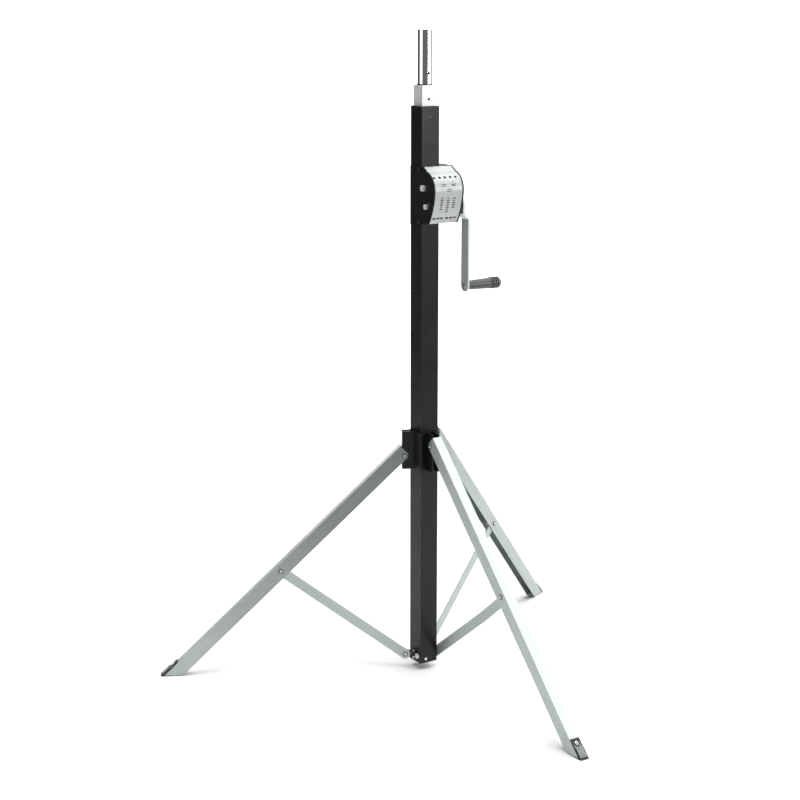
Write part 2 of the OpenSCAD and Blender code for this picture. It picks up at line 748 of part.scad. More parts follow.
// A brace runs from its pivot on the mast to its bolt on the leg
module at_brace(g) {
    at_leg(g) translate([pivot_r(g), 0, g[QZ]]) rotate([0, -brace_angle(g), 0]) children();
}
bend_from = 270;
module brace(g) {
    b = brace_len(g);
    h = brace_t / 2;
    r = brace_w / 2;
    tq = g[T_MAST];
    tb = g[T_LEG];
    bend_to = b - 22;
    color(pale_zinc) at_brace(g) difference() {
        intersection() {
            translate([0, 0, -r]) linear_extrude(brace_w) polygon([
                [-r, tq - h], [bend_from, tq - h], [bend_to, tb - h], [b + r, tb - h],
                [b + r, tb + h], [bend_to, tb + h], [bend_from, tq + h], [-r, tq + h]
            ]);
            side(min(tq, tb) - brace_t, max(tq, tb) + brace_t) union() {
                circle(r = r);
                translate([0, -r]) square([b, brace_w]);
                translate([b, 0]) circle(r = r);
            }
        }
        rod_y(tq - 5, tq + 5, bolt_r, 0, 0);
        rod_y(tb - 5, tb + 5, bolt_r + fit, b, 0);
    }
}
module brace_pin(g) {
    t = g[T_MAST];
    s = sign(t);
    h = brace_t / 2;
    outside = t > leg_w / 2;
    color(silver) at_brace(g) union() {
        rod_y(t - h, t + h, bolt_r, 0, 0);
        if (outside) rod_y(t + h, t + h + 6, 7.2, 0, 0, 6);
        else rod_y(t + s * h, t + s * (h + 0.7), 6.5, 0, 0);
    }
}

bracket_t = 3;
module brace_bracket(g, flange_y0, flange_y1) {
    s = sign(g[T_MAST]);
    t = g[T_MAST] - s * (brace_t / 2 + gap);
    x0 = g[AZ] > 90 ? -mast_w / 2 - bracket_t : mast_w / 2;
    z0 = g[QZ] - 13;
    z1 = g[QZ] + 13;
    color(pale_zinc) difference() {
        union() {
            at_leg(g) side(t, t - s * bracket_t) union() {
                translate([pivot_r(g), g[QZ]]) circle(r = 10);
                translate([15, g[QZ] - 10]) square([pivot_r(g) - 15, 20]);
            }
            box(x0, x0 + bracket_t, flange_y0, flange_y1, z0, z1);
        }
        box(-mast_w / 2, mast_w / 2, -mast_w / 2, mast_w / 2, 0, 200);
        at_leg(g) rod_y(-20, 20, bolt_r, pivot_r(g), g[QZ]);
    }
}
module left_brace_bracket() { brace_bracket(left, -4.8, 14); }
module right_brace_bracket() { brace_bracket(right, -1.4, 14); }

module bracket_bolts() {
    rivet_r = 3;
    rivet_y = 2.6;
    rivet_dz = 9;
    rivet_t = 1.2;
    color(silver) {
        for (g = [left, right]) at_leg(g) translate([pivot_r(g), 0, g[QZ]]) union() {
            s = sign(g[T_MAST]);
            t = g[T_MAST] - s * (brace_t / 2 + gap + bracket_t);
            rod_y(t + s * bracket_t, t, bolt_r, 0, 0);
            rod_y(t, t - s * 1.2, 8, 0, 0);
            rod_y(t - s * 1.2, t - s * 4.5, 6.6, 0, 0, 6);
        }
        for (z = [left[QZ] - rivet_dz, left[QZ] + rivet_dz])
            rod_x(-mast_w / 2 - bracket_t - rivet_t, -mast_w / 2 - bracket_t, rivet_r, rivet_y, z);
        for (z = [right[QZ] - rivet_dz, right[QZ] + rivet_dz])
            rod_x(mast_w / 2 + bracket_t, mast_w / 2 + bracket_t + rivet_t, rivet_r, rivet_y, z);
    }
}

module front_brace_bolt() {
    x0 = -mast_w / 2;
    color(silver) union() {
        rod_x(x0 - 1.5, x0, 9, cross_y, cross_z);
        rod_x(x0 - 7.5, x0 - 1.5, 7.5, cross_y, cross_z, 6);
        rod_x(x0, mast_w / 2, bolt_r, cross_y, cross_z);
        rod_x(mast_w / 2, mast_w / 2 + 0.5, 6.5, cross_y, cross_z);
    }
}

outer_mast_tube();
top_guide_bush();
sheave_pin();
bottom_buffer();
base_screw();
winch_left_plate();
winch_right_plate();
winch_cover();
winch_brackets();
winch_screws();
winch_tie_rod();
guard_bolt();
drum_guard();
drum_axle();
ratchet_wheel();
lift_cable();
lift_cable_drop();
hub_stop_screw();
left_brace_bracket();
right_brace_bracket();
bracket_bolts();
front_brace_bolt();
inner_mast_tube();
lower_guide();
cable_anchor();
cable_ferrule();
spigot_plug();
spigot_tube();
plug_screw();
cable_drum();
drum_gear();
crank_shaft();
crank_pinion();
brake_discs();
crank_arm();
crank_nut();
grip_spindle();
crank_grip();
pawl();
top_sheave();
leg_hub();
leg(left);  // left_leg
foot_pad(left);  // left_foot_pad
foot_screw(left);  // left_foot_screw
leg_bolts(left);  // left_leg_bolts
leg(right);  // right_leg
foot_pad(right);  // right_foot_pad
foot_screw(right);  // right_foot_screw
leg_bolts(right);  // right_leg_bolts
leg(front);  // front_leg
foot_pad(front);  // front_foot_pad
foot_screw(front);  // front_foot_screw
leg_bolts(front);  // front_leg_bolts
brace(left);  // left_brace
brace_pin(left);  // left_brace_pin
brace(right);  // right_brace
brace_pin(right);  // right_brace_pin
brace(front);  // front_brace
brace_pin(front);  // front_brace_pin
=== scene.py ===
import json
import math

import bmesh
import bpy
from mathutils import Matrix, Vector


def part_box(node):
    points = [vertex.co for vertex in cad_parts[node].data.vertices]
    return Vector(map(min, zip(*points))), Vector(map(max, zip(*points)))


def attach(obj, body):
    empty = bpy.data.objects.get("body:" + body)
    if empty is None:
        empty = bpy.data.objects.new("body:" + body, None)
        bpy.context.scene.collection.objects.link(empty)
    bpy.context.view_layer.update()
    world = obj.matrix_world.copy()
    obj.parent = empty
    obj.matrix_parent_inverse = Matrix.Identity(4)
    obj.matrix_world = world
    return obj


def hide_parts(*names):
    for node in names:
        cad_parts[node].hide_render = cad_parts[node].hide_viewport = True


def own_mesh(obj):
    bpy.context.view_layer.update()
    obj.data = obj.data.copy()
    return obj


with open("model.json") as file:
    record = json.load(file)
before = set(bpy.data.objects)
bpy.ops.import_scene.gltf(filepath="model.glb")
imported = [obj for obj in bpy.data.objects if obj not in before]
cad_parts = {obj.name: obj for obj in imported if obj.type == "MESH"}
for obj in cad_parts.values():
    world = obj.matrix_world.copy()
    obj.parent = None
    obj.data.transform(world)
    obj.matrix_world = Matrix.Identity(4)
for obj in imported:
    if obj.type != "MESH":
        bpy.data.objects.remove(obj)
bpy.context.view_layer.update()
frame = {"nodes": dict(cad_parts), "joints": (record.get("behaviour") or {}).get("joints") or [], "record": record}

# Crank lighting stand: materials, turned fasteners, spigot, print, studio and camera.
# World units are metres. The pieces drawn here have their sizes in millimetres, times MM.
NODES = frame["nodes"]
JOINTS = {j["name"]: j for j in frame["joints"]}
MOUNTS = {m["name"]: m for m in frame["record"]["mounts"]}
MM = 0.001
LEGS = ("left", "right", "front")
UP = Vector((0, 0, 1))
LEFT = Vector((-1, 0, 0))
REAR = Vector((0, 1, 0))
BRACE_BOLT_UP = 9 * MM

# The photograph's camera
CAMERA_AT = Vector((-2.2907, -3.5203, 1.6788))
CAMERA_LENS = 76.95
VIEW_DIR = Vector((0.5196, 0.8244, -0.2244))
VIEW_LEVEL = Vector((VIEW_DIR.x, VIEW_DIR.y, 0))


# ---------------------------------------------------------------- frames
class Local:
    """An orthonormal frame: origin and three axes, in the row frame."""

    def __init__(self, origin, x, y):
        self.o = Vector(origin)
        self.x = Vector(x).normalized()
        self.y = Vector(y).normalized()
        self.z = self.x.cross(self.y)

    def to(self, point):
        """A point's coordinates in this frame."""
        d = Vector(point) - self.o
        return Vector((d.dot(self.x), d.dot(self.y), d.dot(self.z)))


def leg_frame(side):
    """Along a leg from its pivot (x), across it (y) and out of its closed face (z)."""
    pivot = Vector(JOINTS[f"{side}_leg_fold"]["pos_m"])
    across = Vector(JOINTS[f"{side}_leg_fold"]["axis"])
    bolt = Vector(JOINTS[f"{side}_brace_swing"]["pos_m"])
    reach = bolt - pivot
    reach -= across * reach.dot(across)
    span = math.sqrt(reach.length_squared - BRACE_BOLT_UP * BRACE_BOLT_UP)
    turn = Matrix.Rotation(math.atan2(BRACE_BOLT_UP, span), 3, across)
    return Local(pivot, turn @ reach.normalized(), across)


def brace_frame(side):
    """Along a brace from its lower pin (x) and across it (y)."""
    lo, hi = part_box(f"{side}_brace_pin")
    end = (lo + hi) / 2
    across = Vector(JOINTS[f"{side}_leg_fold"]["axis"])
    bolt = Vector(JOINTS[f"{side}_brace_swing"]["pos_m"])
    along = bolt - end
    along -= across * along.dot(across)
    return Local(end, along, across)


def extent(node, local):
    """Lowest and highest coordinates of a CAD node in a local frame."""
    rows = [local.to(v.co) for v in NODES[node].data.vertices]
    return [Vector([pick(r[i] for r in rows) for i in range(3)]) for pick in (min, max)]


UPRIGHT = Local((0, 0, 0), (0, 0, 1), (0, 1, 0))
PLAIN = Local((0, 0, 0), (1, 0, 0), (0, 1, 0))
LEG = {s: leg_frame(s) for s in LEGS}
BRACE = {s: brace_frame(s) for s in LEGS}
# Bolt heads are on the side of each leg that the photograph's viewer sees
HEAD = {s: -LEG[s].y * math.copysign(1, LEG[s].y.dot(VIEW_DIR)) for s in LEGS}


# ---------------------------------------------------------------- node trees
class Tree:
    """A short way to write a node tree."""

    def __init__(self, tree):
        self.tree = tree

    def add(self, kind, **props):
        n = self.tree.nodes.new(kind)
        for k, v in props.items():
            setattr(n, k, v)
        return n

    def link(self, a, b):
        self.tree.links.new(a, b)

    def put(self, socket, value):
        if isinstance(value, bpy.types.NodeSocket):
            self.link(value, socket)
        else:
            socket.default_value = value

    def math(self, op, a, b=0.0):
        n = self.add("ShaderNodeMath", operation=op)
        self.put(n.inputs[0], a)
        self.put(n.inputs[1], b)
        return n.outputs[0]

    def dot(self, a, b):
        n = self.add("ShaderNodeVectorMath", operation="DOT_PRODUCT")
        self.put(n.inputs[0], a)
        self.put(n.inputs[1], b)
        return n.outputs["Value"]

    def span(self, value, lo, hi, to_lo, to_hi, smooth=False):
        """Maps lo..hi to to_lo..to_hi and stays within it."""
        n = self.add("ShaderNodeMapRange", interpolation_type="SMOOTHSTEP" if smooth else "LINEAR")
        for i, v in enumerate((value, lo, hi, to_lo, to_hi)):
            self.put(n.inputs[i], v)
        return n.outputs[0]


class Surface(Tree):
    """A material with one principled shader."""

    def __init__(self, name):
        self.mat = bpy.data.materials.new(name)
        self.mat.use_nodes = True
        super().__init__(self.mat.node_tree)
        self.tree.nodes.clear()
        self.out = self.add("ShaderNodeOutputMaterial")
        self.shader = self.add("ShaderNodeBsdfPrincipled")
        self.link(self.shader.outputs["BSDF"], self.out.inputs["Surface"])

    def coords(self, local, scale=(1, 1, 1)):
        """Position in a local frame, metres times scale."""
        rel = self.add("ShaderNodeVectorMath", operation="SUBTRACT")
        self.link(self.add("ShaderNodeTexCoord").outputs["Object"], rel.inputs[0])
        rel.inputs[1].default_value = local.o
        joined = self.add("ShaderNodeCombineXYZ")
        for i, axis in enumerate((local.x, local.y, local.z)):
            self.link(self.dot(rel.outputs[0], axis * scale[i]), joined.inputs[i])
        return joined.outputs[0]

    def split(self, vec):
        """The three components of a vector."""
        n = self.add("ShaderNodeSeparateXYZ")
        self.link(vec, n.inputs[0])
        return n.outputs

    def facing(self, axis, lo, hi):
        """0 to 1 as the surface turns towards an axis."""
        normal = self.add("ShaderNodeNewGeometry").outputs["Normal"]
        return self.span(self.dot(normal, axis), lo, hi, 0, 1)

    def noise(self, vec, scale, detail=3.0, rough=0.5):
        n = self.add("ShaderNodeTexNoise")
        self.link(vec, n.inputs["Vector"])
        n.inputs["Scale"].default_value = scale
        n.inputs["Detail"].default_value = detail
        n.inputs["Roughness"].default_value = rough
        return n.outputs["Fac"]

    def flakes(self, vec, scale):
        """Cells with a random grey each, like zinc spangle."""
        cells = self.add("ShaderNodeTexVoronoi")
        self.link(vec, cells.inputs["Vector"])
        cells.inputs["Scale"].default_value = scale
        grey = self.add("ShaderNodeRGBToBW")
        self.link(cells.outputs["Color"], grey.inputs[0])
        return grey.outputs[0]

    def mix(self, fac, a, b):
        n = self.add("ShaderNodeMix", data_type="RGBA", blend_type="MIX")
        self.put(n.inputs[0], fac)
        self.put(n.inputs[6], a if isinstance(a, bpy.types.NodeSocket) else (*a, 1))
        self.put(n.inputs[7], b if isinstance(b, bpy.types.NodeSocket) else (*b, 1))
        return n.outputs[2]

    def bump(self, height, distance, strength=1.0, below=None):
        n = self.add("ShaderNodeBump")
        n.inputs["Strength"].default_value = strength
        n.inputs["Distance"].default_value = distance
        self.link(height, n.inputs["Height"])
        if below is not None:
            self.link(below, n.inputs["Normal"])
        return n.outputs["Normal"]

    def edge(self, radius, share):
        """Up to a share on a sharp edge, and 0 on a flat face."""
        bevel = self.add("ShaderNodeBevel", samples=4)
        bevel.inputs["Radius"].default_value = radius
        normal = self.add("ShaderNodeNewGeometry").outputs["Normal"]
        turn = self.dot(bevel.outputs["Normal"], normal)
        return self.math("MULTIPLY", self.span(turn, 0.98, 0.8, 0.0, 1.0), share)

    def done(self, color, rough, metal=0.0, normal=None, specular=None):
        s = self.shader.inputs
        self.put(s["Base Color"], color if isinstance(color, bpy.types.NodeSocket) else (*color, 1))
        self.put(s["Roughness"], rough)
        self.put(s["Metallic"], metal)
        if normal is not None:
            self.link(normal, s["Normal"])
        if specular is not None:
            self.put(s["Specular IOR Level"], specular)
        return self.mat


def tint(color, factor):
    """A colour made lighter or darker."""
    return tuple(min(1, c * factor) for c in color)


# ---------------------------------------------------------------- materials
def powder_coat():
    """Satin black powder coat: fine orange peel, faint dust, and paler sharp edges that are a painted highlight.
    """
    n = Surface("black_powder_coat")
    p = n.coords(PLAIN)
    peel = n.noise(p, 1500, 2.0, 0.6)
    cloud = n.noise(p, 14, 4.0, 0.55)
    streak = n.noise(n.coords(UPRIGHT, (1.2, 30, 30)), 9, 4.0, 0.6)
    dust = n.span(cloud, 0.42, 0.75, 0.0, 0.35)
    col = n.mix(dust, (0.0026, 0.0036, 0.0038), (0.0075, 0.0092, 0.0095))
    col = n.mix(n.span(streak, 0.6, 0.8, 0.0, 0.25), col, (0.026, 0.027, 0.028))
    # Painted highlight: the sharp edges are made paler.
    col = n.mix(n.edge(0.0012, 0.35), col, (0.09, 0.092, 0.094))
    rough = n.span(cloud, 0.3, 0.7, 0.3, 0.42)
    rough = n.math("ADD", rough, n.span(peel, 0.3, 0.7, -0.03, 0.03))
    return n.done(col, rough, 0.0, n.bump(peel, 0.00006, 0.6), specular=0.28)


def plated(name, local, base, dark, metal=0.75, rough=0.42, streak=0.5, spangle=0.35, shaded_face=None):
    """Zinc plate: drawn lines, soft spangle, edges made lighter as a painted highlight, and painted shade that
    darkens one side face near the hub.
    """
    n = Surface(name)
    stretched = n.coords(local, (1.0, 26, 26))
    fine = n.noise(stretched, 60, 3.0, 0.6)
    broad = n.noise(stretched, 6, 3.0, 0.5)
    p = n.coords(local)
    flake = n.flakes(p, 160)
    cloud = n.noise(p, 12, 4.0, 0.6)
    tone = n.mix(n.span(broad, 0.35, 0.65, 0.0, streak), base, dark)
    tone = n.mix(n.span(flake, 0.2, 0.9, 0.0, spangle), tone, dark)
    tone = n.mix(n.span(cloud, 0.55, 0.8, 0.0, 0.25), tone, tint(base, 1.15))
    # Painted highlight: the sharp edges are made lighter.
    tone = n.mix(n.edge(0.001, 0.5), tone, tint(base, 1.35))
    lines = n.span(fine, 0.3, 0.7, rough - 0.07, rough + 0.07)
    # Painted shade: one side face darkens towards the hub.
    if shaded_face is not None:
        shade_near_hub = n.span(n.split(p)[0], 0.25, 0.85, 0.62, 0.0)
        tone = n.mix(n.math("MULTIPLY", n.facing(shaded_face, 0.7, 0.95), shade_near_hub), tone, tint(base, 0.22))
    normal = n.bump(cloud, 0.0004, 0.12, n.bump(fine, 0.00003, 0.5))
    return n.done(tone, n.math("ADD", lines, n.span(flake, 0, 1, -0.04, 0.04)), metal, normal)


def brushed(name, local, base, rough, metal, lines):
    """Brushed sheet: long fine lines along the frame's first axis."""
    n = Surface(name)
    line = n.noise(n.coords(local, (1, lines, lines)), 22, 4.0, 0.7)
    smear = n.noise(n.coords(local), 25, 3.0, 0.5)
    col = n.mix(n.span(line, 0.3, 0.7, 0.0, 0.45), base, tint(base, 0.72))
    col = n.mix(n.span(smear, 0.5, 0.8, 0.0, 0.2), col, tint(base, 0.6))
    drawn = n.span(line, 0.3, 0.7, rough - 0.08, rough + 0.1)
    rough = n.math("ADD", drawn, n.span(smear, 0.3, 0.7, -0.03, 0.06))
    return n.done(col, rough, metal, n.bump(line, 0.00003, 0.6))


def turned(name, base, rough, metal=0.95):
    """Bright metal on small turned parts, with faint rings and grime."""
    n = Surface(name)
    ring = n.noise(n.coords(PLAIN, (900, 8, 8)), 1.2, 2.0, 0.5)
    grime = n.noise(n.coords(PLAIN), 140, 4.0, 0.6)
    col = n.mix(n.span(grime, 0.5, 0.75, 0.0, 0.4), base, tint(base, 0.5))
    dull = n.span(grime, 0.3, 0.7, rough - 0.05, rough + 0.12)
    rough = n.math("ADD", dull, n.span(ring, 0.3, 0.7, -0.03, 0.03))
    return n.done(col, rough, metal, n.bump(ring, 0.00002, 0.3))


def moulded(name, base, rough, grain=1200, depth=0.00005, dust=0.25):
    """Moulded plastic or blackened steel: fine grain, a little dust, paler edges."""
    n = Surface(name)
    p = n.coords(PLAIN)
    cloud = n.noise(p, 60, 4.0, 0.6)
    pale = tuple(min(1.0, c * 2.6 + 0.02) for c in base)
    col = n.mix(n.span(cloud, 0.45, 0.8, 0.0, dust), base, pale)
    col = n.mix(n.edge(0.0008, 0.35), col, pale)
    rough = n.span(cloud, 0.3, 0.7, rough - 0.06, rough + 0.1)
    return n.done(col, rough, 0.0, n.bump(n.noise(p, grain, 3.0, 0.6), depth, 0.7))


def chrome_tube():
    """Chromed tube with fine drawn lines, slight haze and scuffs from fittings."""
    n = Surface("spigot_chrome")
    ring = n.noise(n.coords(UPRIGHT, (300, 3, 3)), 3, 3.0, 0.6)
    haze = n.noise(n.coords(PLAIN), 45, 4.0, 0.6)
    col = n.mix(n.span(haze, 0.5, 0.8, 0.0, 0.3), (0.72, 0.74, 0.73), (0.56, 0.58, 0.57))
    rough = n.math("ADD", n.span(haze, 0.35, 0.7, 0.07, 0.12), n.span(ring, 0.4, 0.7, 0.0, 0.03))
    return n.done(col, rough, 1.0)


def wire_rope():
    """Steel rope: strands laid at an angle round the cable."""
    n = Surface("wire_rope")
    wave = n.add("ShaderNodeTexWave", wave_type="BANDS", bands_direction="DIAGONAL", wave_profile="SIN")
    n.link(n.coords(UPRIGHT), wave.inputs["Vector"])
    wave.inputs["Scale"].default_value = 260
    wave.inputs["Distortion"].default_value = 0.4
    lay = wave.outputs["Fac"]
    col = n.mix(lay, (0.12, 0.12, 0.12), (0.6, 0.6, 0.59))
    return n.done(col, n.span(lay, 0, 1, 0.6, 0.32), 0.9, n.bump(lay, 0.0004, 0.9))


GRIP_RINGS_FROM = 66 * MM


def grip_plastic():
    """Crank grip: grey moulded plastic, glossy on top, with painted shade in the grooves of its rings and a
    painted highlight on their crests.
    """
    n = Surface("grip_plastic")
    lo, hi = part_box("crank_grip")
    axis = Local((lo.x, (lo.y + hi.y) / 2, (lo.z + hi.z) / 2), (1, 0, 0), (0, 1, 0))
    largest = (hi.z - lo.z) / 2
    along, across, up = n.split(n.coords(axis))
    radius = n.math("SQRT", n.math("ADD", n.math("MULTIPLY", across, across), n.math("MULTIPLY", up, up)))
    crest = n.span(radius, largest - 0.9 * MM, largest - 0.3 * MM, 0, 1)
    ringed = n.span(along, GRIP_RINGS_FROM, GRIP_RINGS_FROM + 2 * MM, 0, 1)
    # Painted shade: the grooves between the rings are darkened.
    groove_shade = n.math("MULTIPLY", ringed, n.math("SUBTRACT", 1.0, crest))
    grain = n.noise(n.coords(PLAIN), 900, 3.0, 0.6)
    wear = n.noise(n.coords(axis, (1, 4, 4)), 60, 4.0, 0.6)
    col = n.mix(n.span(wear, 0.4, 0.8, 0.0, 0.5), (0.055, 0.058, 0.059), (0.12, 0.125, 0.126))
    # Painted highlight: the crests of the rings are lightened.
    col = n.mix(n.math("MULTIPLY", ringed, n.math("MULTIPLY", crest, 0.5)), col, (0.2, 0.21, 0.21))
    col = n.mix(groove_shade, col, (0.006, 0.006, 0.0065))
    return n.done(col, n.span(wear, 0.3, 0.7, 0.26, 0.38), 0.0, n.bump(grain, 0.00006, 0.5))


def foot_rubber(side):
    """Foot pad: black rubber edges round a worn grey face."""
    n = Surface(f"foot_rubber_{side}")
    local = LEG[side]
    reach = extent(f"{side}_foot_pad", local)[1]
    along, across, _ = n.split(n.coords(local))
    worn = n.noise(n.coords(local), 260, 5.0, 0.7)
    sideways = n.math("ABSOLUTE", across)
    face = n.facing(local.z, 0.9, 0.97)
    for patch in (
        n.span(sideways, reach.y - 2.4 * MM, reach.y - 3.2 * MM, 0, 1),
        n.span(along, reach.x - 48 * MM, reach.x - 46 * MM, 0, 1),
        n.span(along, reach.x - 6 * MM, reach.x - 8 * MM, 0, 1),
        n.span(worn, 0.35, 0.6, 0.35, 1.0),
    ):
        face = n.math("MULTIPLY", face, patch)
    col = n.mix(face, (0.012, 0.012, 0.0125), (0.27, 0.29, 0.28))
    return n.done(col, n.span(worn, 0.3, 0.7, 0.5, 0.7), 0.0, n.bump(worn, 0.0002, 0.6))


def leg_zinc(side):
    """Only the left leg gets painted shade: its side face darkens towards the hub."""
    shaded_face = HEAD[side] if side == "left" else None
    return plated(f"zinc_{side}_leg", LEG[side], (0.49, 0.54, 0.515), (0.38, 0.42, 0.40), shaded_face=shaded_face)


def brace_zinc(side):
    """Paler and softer than the legs."""
    return plated(f"zinc_{side}_brace", BRACE[side], (0.47, 0.53, 0.505), (0.38, 0.43, 0.41),
                  metal=0.6, rough=0.45, streak=0.4, spangle=0.25)


def arm_zinc():
    return plated("zinc_crank_arm", UPRIGHT, (0.6, 0.67, 0.64), (0.47, 0.52, 0.5), metal=0.4, rough=0.36)


SCREW_BLACK = moulded("black_oxide", (0.018, 0.018, 0.019), 0.36, 700, 0.00002, 0.15)
INK = moulded("cover_print", (0.03, 0.022, 0.026), 0.5, 400, 0.00001, 0.2)
CHROME = chrome_tube()
STEEL = turned("machined_steel", (0.62, 0.62, 0.61), 0.32)
BOLT = turned("bright_zinc", (0.72, 0.74, 0.735), 0.3, 0.6)
NICKEL = turned("bright_nickel", (0.88, 0.9, 0.89), 0.3, 0.3)
ROPE = wire_rope()

SLOT_MATERIAL = {
    "black_coat": powder_coat(),
    "black_screw": SCREW_BLACK,
    "black_plastic": moulded("black_plastic", (0.016, 0.016, 0.017), 0.48),
    "winch_sheet": brushed("winch_sheet", PLAIN, (0.58, 0.6, 0.605), 0.42, 0.25, 150),
    "machined_steel": STEEL,
    "cable_wire": ROPE,
    "bright_tube": brushed("bright_drawn_tube", UPRIGHT, (0.86, 0.875, 0.865), 0.34, 0.15, 60),
    "spigot_chrome": CHROME,
    "zinc_steel": arm_zinc(),
    "bolt_steel": BOLT,
    "grip_plastic": grip_plastic(),
}

# Nodes with a look of their own. The brackets and the crank shaft look black in the photograph
NODE_MATERIAL = {
    **{f"{s}_leg": leg_zinc(s) for s in LEGS},
    **{f"{s}_brace": brace_zinc(s) for s in LEGS},
    **{f"{s}_foot_pad": foot_rubber(s) for s in LEGS},
    **dict.fromkeys(("crank_shaft", "plug_screw", "left_brace_bracket", "right_brace_bracket"), SCREW_BLACK),
    **dict.fromkeys(("drum_axle", "guard_bolt", "crank_nut"), NICKEL),
}


def paint(obj, material):
    obj.data.materials.clear()
    obj.data.materials.append(material)


for part in frame["record"]["subparts"]:
    node = part["node"]
    paint(NODES[node], NODE_MATERIAL.get(node) or SLOT_MATERIAL[part["material_slot"]])

# Small rounded edges on the CAD parts, without touching their own vertices
PLAIN_EDGE_MM = 0.3
EDGE_MM = {
    "outer_mast_tube": 1.6, "inner_mast_tube": 1.4, "leg_hub": 0.8,
    "winch_left_plate": 0.6, "winch_right_plate": 0.6, "crank_arm": 0.9,
    "top_guide_bush": 0.7, "spigot_tube": 0.5, "spigot_plug": 0.5,
    **{f"{s}_leg": 0.9 for s in LEGS},
    **{f"{s}_brace": 0.5 for s in LEGS},
    **{f"{s}_foot_pad": 0.8 for s in LEGS},
}
for name, obj in NODES.items():
    bevel = obj.modifiers.new("edge", "BEVEL")
    bevel.width = EDGE_MM.get(name, PLAIN_EDGE_MM) * MM
    bevel.segments = 2
    bevel.limit_method = "ANGLE"
    bevel.angle_limit = math.radians(35)
    bevel.use_clamp_overlap = True
    bevel.harden_normals = False


# ---------------------------------------------------------------- turned pieces
BOLT_R = 4
NUT_R = 7.2
NUT_THICK = 5.5
WASHER_R = 6.4
SPACER_R = 6.5


class Turned:
    """One piece made of turned shapes, each closed and with its own material."""

    def __init__(self, name, body, slot_name, *stands_for):
        self.bm = bmesh.new()
        self.materials = []
        self.mesh = bpy.data.meshes.new(name)
        self.obj = bpy.data.objects.new(name, self.mesh)
        bpy.context.scene.collection.objects.link(self.obj)
        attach(self.obj, body)
        if stands_for:
            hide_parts(*stands_for)

    def index(self, material):
        if material not in self.materials:
            self.materials.append(material)
        return self.materials.index(material)

    def rings(self, at, axis, outline, sides):
        """Rings of points round the axis. A radius of 0 gives a single point."""
        u = axis.orthogonal().normalized()
        w = axis.cross(u).normalized()
        rings = []
        for along, radius in outline:
            middle = at + axis * along * MM
            count = sides if radius > 0 else 1
            rings.append([
                self.bm.verts.new(middle + (u * math.cos(t) + w * math.sin(t)) * radius * MM)
                for t in (2 * math.pi * i / sides for i in range(count))
            ])
        return rings

    def skin(self, pairs, material, sides):
        """Faces between neighbouring rings."""
        for a, b in pairs:
            for i in range(sides):
                j = (i + 1) % sides
                corners = [a[i % len(a)], a[j % len(a)], b[j % len(b)], b[i % len(b)]]
                corners = list(dict.fromkeys(corners))
                if len(corners) > 2:
                    self.bm.faces.new(corners).material_index = self.index(material)

    def turn(self, at, axis, outline, material, sides=32):
        """Outline: (millimetres along the axis, radius in millimetres), closed at both ends."""
        closed = [(outline[0][0], 0), *outline, (outline[-1][0], 0)]
        rings = self.rings(at, axis, closed, sides)
        self.skin(zip(rings, rings[1:]), material, sides)

    def wall(self, at, axis, loop, material, sides=96):
        """A ring: the loop of (along, radius) points turned about the axis."""
        rings = self.rings(at, axis, loop, sides)
        self.skin(zip(rings, rings[1:] + rings[:1]), material, sides)

    def head(self, at, axis):
        """Button head with a round socket, on a dark washer. The black disc in the socket is painted shade."""
        washer = [(0, WASHER_R - 0.2), (0.2, WASHER_R), (0.9, WASHER_R), (1.1, WASHER_R - 0.3)]
        self.turn(at, axis, washer, SCREW_BLACK)
        r = 3.9
        button = [(1.0, r), (1.5, r), (2.3, r * 0.9), (2.9, r * 0.72), (3.3, r * 0.52),
                  (3.3, r * 0.44), (1.9, r * 0.44)]
        self.turn(at, axis, button, BOLT)
        # Painted shade: a black disc at the bottom of the socket.
        self.turn(at, axis, [(1.9, r * 0.44), (2.0, r * 0.4)], SCREW_BLACK, 6)

    def nut(self, at, axis, radius=NUT_R, thick=NUT_THICK):
        """Chamfered hexagon nut with the bolt's rounded end in it."""
        hexagon = [(0, radius * 0.9), (0.5, radius), (thick - 0.7, radius), (thick, radius * 0.86)]
        self.turn(at, axis, hexagon, BOLT, 6)
        end = [(thick - 1, BOLT_R), (thick + 0.8, BOLT_R), (thick + 1.4, BOLT_R * 0.75)]
        self.turn(at, axis, end, STEEL)

    def done(self):
        bmesh.ops.recalc_face_normals(self.bm, faces=self.bm.faces)
        for face in self.bm.faces:
            face.smooth = True
        self.bm.to_mesh(self.mesh)
        self.bm.free()
        self.mesh.set_sharp_from_angle(angle=math.radians(32))
        for material in self.materials:
            self.mesh.materials.append(material)
        return self.obj


def bolt_set(side):
    """The pivot bolt and the brace bolt of a leg, with the spacer beside the brace."""
    leg = LEG[side]
    head = HEAD[side]
    half = extent(f"{side}_leg", leg)[1].y / MM
    low, high = extent(f"{side}_leg_bolts", leg)
    far = (high.y if head.dot(leg.y) < 0 else -low.y) / MM - NUT_THICK
    brace_bolt = leg.to(JOINTS[f"{side}_brace_swing"]["pos_m"])
    swing = leg.o + leg.x * brace_bolt.x + leg.z * brace_bolt.z
    bolts = Turned(f"{side}_bolt_set", f"{side}_leg", "bolt_steel", f"{side}_leg_bolts")
    for at, nut_from in ((leg.o, half), (swing, far)):
        bolts.turn(at, head, [(-nut_from, BOLT_R), (half, BOLT_R)], BOLT)
        bolts.head(at + head * half * MM, head)
        bolts.nut(at - head * nut_from * MM, -head)
    if side != "front":
        leg_wall = 2.0
        wall_and_brace = 6.3
        bolts.turn(swing, head, [(leg_wall - half, SPACER_R), (half - wall_and_brace, SPACER_R)], BOLT)
    bolts.done()


